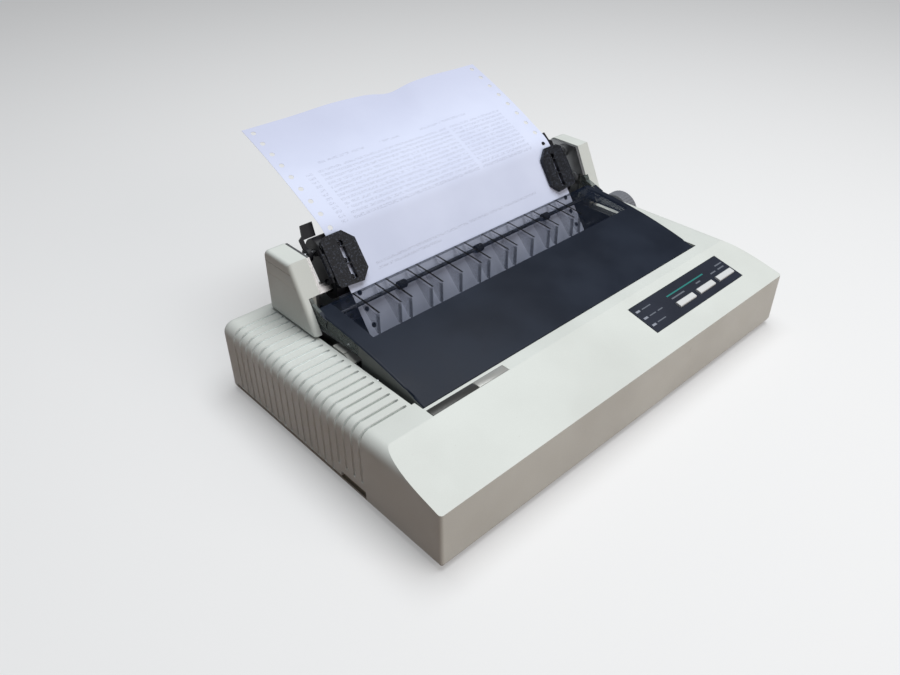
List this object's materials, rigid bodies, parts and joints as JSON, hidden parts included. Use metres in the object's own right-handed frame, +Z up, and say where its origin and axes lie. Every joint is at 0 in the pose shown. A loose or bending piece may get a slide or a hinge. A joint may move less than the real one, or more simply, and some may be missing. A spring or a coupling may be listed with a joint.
{
  "type": "dot matrix printer",
  "caption": "Desktop dot matrix printer with a smoked hinged cover, pin-feed tractors holding fanfold paper, a platen knob and a sloping control panel.",
  "frame": {"origin": "centre of the overall box, on the table", "axes": "+X to the user's right along the width, +Y to the back, +Z up"},
  "size_m": [0.3926, 0.3026, 0.1666],
  "materials": {
    "case_cream": "fine-textured moulded plastic",
    "base_taupe": "textured moulded plastic",
    "foot_rubber": "moulded",
    "plated_steel": "zinc plated sheet",
    "panel_navy": "printed film on plastic",
    "led_lens": "tinted lens",
    "board_green": "solder mask",
    "core_iron": "varnished laminations",
    "black_plastic": "moulded",
    "bright_steel": "ground and plated",
    "square_bar": "extruded",
    "platen_rubber": "ground",
    "knob_grey": "moulded",
    "lever_grey": "moulded",
    "gear_white": "moulded",
    "motor_steel": "painted",
    "pan_steel": "painted",
    "paper_white": "uncoated paper",
    "smoked_plastic": "tinted moulding",
    "head_aluminium": "cast and anodised",
    "guide_steel": "spring steel",
    "belt_rubber": "toothed",
    "ribbon_cloth": "inked nylon"
  },
  "bodies": {
    "printer_base": {"carriage_belt": "belt_rubber", "carriage_motor": "motor_steel", "case_screws": "plated_steel", "chassis_plate": "plated_steel", "control_panel": "panel_navy", "fanfold_paper": "paper_white", "guide_shaft": "bright_steel", "interface_connector": "black_plastic", "left_frame": "plated_steel", "left_tractor_cover": "case_cream", "line_feed_motor": "motor_steel", "lower_case": "base_taupe", "main_board": "board_green", "panel_board": "board_green", "paper_pan": "pan_steel", "power_inlet": "black_plastic", "pressure_shaft": "bright_steel", "ribbon": "ribbon_cloth", "ribbon_cartridge": "black_plastic", "right_frame": "plated_steel", "right_tractor_cover": "case_cream", "rubber_feet": "foot_rubber", "status_leds": "led_lens", "tractor_guide_shaft": "bright_steel", "tractor_plates": "plated_steel", "transformer": "core_iron", "upper_case": "case_cream"},
    "platen": {"platen_roller": "platen_rubber", "platen_shaft": "bright_steel", "platen_gear": "gear_white", "platen_knob": "knob_grey"},
    "idler": {"idler_gear": "gear_white"},
    "tractor_drive": {"tractor_drive_shaft": "square_bar", "tractor_gear": "gear_white"},
    "feed_pinion": {"line_feed_pinion": "gear_white"},
    "pressure_rollers": {"pressure_rollers": "platen_rubber"},
    "cover": {"smoked_cover": "smoked_plastic", "bail_shaft": "bright_steel"},
    "bail_rollers": {"bail_rollers": "black_plastic"},
    "carriage": {"carriage": "black_plastic", "print_head": "head_aluminium", "ribbon_guide": "guide_steel"},
    "drive_pulley": {"drive_pulley": "gear_white"},
    "idle_pulley": {"idle_pulley": "gear_white"},
    "ribbon_knob": {"ribbon_knob": "black_plastic"},
    "release_lever": {"release_lever": "lever_grey"},
    "power_rocker": {"power_rocker": "black_plastic"},
    "left_tractor": {"left_tractor": "black_plastic", "left_pin_belt": "black_plastic"},
    "left_tractor_door": {"left_tractor_door": "black_plastic"},
    "left_lock_lever": {"left_lock_lever": "black_plastic"},
    "left_belt_pulley": {"left_belt_pulley": "black_plastic"},
    "right_tractor": {"right_tractor": "black_plastic", "right_pin_belt": "black_plastic"},
    "right_tractor_door": {"right_tractor_door": "black_plastic"},
    "right_lock_lever": {"right_lock_lever": "black_plastic"},
    "right_belt_pulley": {"right_belt_pulley": "black_plastic"},
    "online_button": {"online_button": "case_cream"},
    "line_feed_button": {"line_feed_button": "case_cream"},
    "form_feed_button": {"form_feed_button": "case_cream"}
  },
  "joints": [
    {"name": "platen_spin", "type": "hinge", "parent": "printer_base", "child": "platen", "pos_m": [0.18325, 0.01967, 0.041], "axis": [1, 0, 0], "continuous": true},
    {"name": "idler_spin", "type": "hinge", "parent": "printer_base", "child": "idler", "pos_m": [0.15275, 0.03669, 0.06098], "axis": [1, 0, 0], "continuous": true},
    {"name": "tractor_drive_spin", "type": "hinge", "parent": "printer_base", "child": "tractor_drive", "pos_m": [0.15275, 0.04246, 0.08156], "axis": [1, 0, 0], "continuous": true},
    {"name": "feed_pinion_spin", "type": "hinge", "parent": "printer_base", "child": "feed_pinion", "pos_m": [0.15275, 0.03755, 0.03149], "axis": [1, 0, 0], "continuous": true},
    {"name": "pressure_roller_spin", "type": "hinge", "parent": "printer_base", "child": "pressure_rollers", "pos_m": [0.00085, 0.0124, 0.02103], "axis": [1, 0, 0], "continuous": true},
    {"name": "cover_hinge", "type": "hinge", "parent": "printer_base", "child": "cover", "pos_m": [-0.15335, 0.03117, 0.083], "axis": [-1, 0, 0], "range_deg": [0, 65]},
    {"name": "bail_roller_spin", "type": "hinge", "parent": "cover", "child": "bail_rollers", "pos_m": [0.00085, 0.01828, 0.0731], "axis": [1, 0, 0], "continuous": true},
    {"name": "carriage_slide", "type": "slide", "parent": "printer_base", "child": "carriage", "axis": [1, 0, 0], "range_m": [-0.161, 0.042]},
    {"name": "drive_pulley_spin", "type": "hinge", "parent": "printer_base", "child": "drive_pulley", "pos_m": [-0.12525, -0.04733, 0.0285], "axis": [0, 0, 1], "range_deg": [-400, 1420]},
    {"name": "idle_pulley_spin", "type": "hinge", "parent": "printer_base", "child": "idle_pulley", "pos_m": [0.13225, -0.04733, 0.0285], "axis": [0, 0, 1], "range_deg": [-400, 1420]},
    {"name": "ribbon_knob_spin", "type": "hinge", "parent": "printer_base", "child": "ribbon_knob", "pos_m": [-0.11975, -0.05933, 0.057], "axis": [0, 0, 1], "continuous": true},
    {"name": "release_lever_swing", "type": "hinge", "parent": "printer_base", "child": "release_lever", "pos_m": [-0.15075, -0.00633, 0.0345], "axis": [-1, 0, 0], "range_deg": [0, 16]},
    {"name": "power_rocker_tilt", "type": "hinge", "parent": "printer_base", "child": "power_rocker", "pos_m": [-0.12375, 0.08367, 0.025], "axis": [1, 0, 0], "range_deg": [0, 18]},
    {"name": "online_button_press", "type": "slide", "parent": "printer_base", "child": "online_button", "axis": [0, 0.2379, -0.9713], "range_m": [0, 0.0012], "stiffness_N_per_m": 300, "springref_m": -0.0006},
    {"name": "line_feed_button_press", "type": "slide", "parent": "printer_base", "child": "line_feed_button", "axis": [0, 0.2379, -0.9713], "range_m": [0, 0.0012], "stiffness_N_per_m": 300, "springref_m": -0.0006},
    {"name": "form_feed_button_press", "type": "slide", "parent": "printer_base", "child": "form_feed_button", "axis": [0, 0.2379, -0.9713], "range_m": [0, 0.0012], "stiffness_N_per_m": 300, "springref_m": -0.0006},
    {"name": "left_tractor_slide", "type": "slide", "parent": "printer_base", "child": "left_tractor", "axis": [1, 0, 0], "range_m": [-0.004, 0.06], "deforming": ["fanfold_paper"]},
    {"name": "left_door_hinge", "type": "hinge", "parent": "left_tractor", "child": "left_tractor_door", "pos_m": [-0.12985, 0.0397, 0.09924], "axis": [0, 0.5736, 0.8192], "range_deg": [-100, 0]},
    {"name": "left_lock_swing", "type": "hinge", "parent": "left_tractor", "child": "left_lock_lever", "pos_m": [-0.11345, 0.05726, 0.1027], "axis": [-1, 0, 0], "range_deg": [0, 60]},
    {"name": "left_belt_spin", "type": "hinge", "parent": "left_tractor", "child": "left_belt_pulley", "pos_m": [-0.11345, 0.04246, 0.08156], "axis": [1, 0, 0], "continuous": true},
    {"name": "right_tractor_slide", "type": "slide", "parent": "printer_base", "child": "right_tractor", "axis": [-1, 0, 0], "range_m": [-0.004, 0.06], "deforming": ["fanfold_paper"]},
    {"name": "right_door_hinge", "type": "hinge", "parent": "right_tractor", "child": "right_tractor_door", "pos_m": [0.13155, 0.0397, 0.09924], "axis": [0, -0.5736, -0.8192], "range_deg": [-100, 0]},
    {"name": "right_lock_swing", "type": "hinge", "parent": "right_tractor", "child": "right_lock_lever", "pos_m": [0.11515, 0.05726, 0.1027], "axis": [-1, 0, 0], "range_deg": [0, 60]},
    {"name": "right_belt_spin", "type": "hinge", "parent": "right_tractor", "child": "right_belt_pulley", "pos_m": [0.11515, 0.04246, 0.08156], "axis": [1, 0, 0], "continuous": true}
  ],
  "couplings": [
    {"joint": "idler_spin", "follows": "platen_spin", "ratio": -1.3333},
    {"joint": "tractor_drive_spin", "follows": "platen_spin", "ratio": 1.4815},
    {"joint": "feed_pinion_spin", "follows": "platen_spin", "ratio": -2.8571},
    {"joint": "pressure_roller_spin", "follows": "platen_spin", "ratio": -3.1},
    {"joint": "left_belt_spin", "follows": "platen_spin", "ratio": 1.4815},
    {"joint": "right_belt_spin", "follows": "platen_spin", "ratio": 1.4815},
    {"joint": "drive_pulley_spin", "follows": "carriage_slide", "rad_per_m": -151.51},
    {"joint": "idle_pulley_spin", "follows": "carriage_slide", "rad_per_m": -151.51}
  ]
}
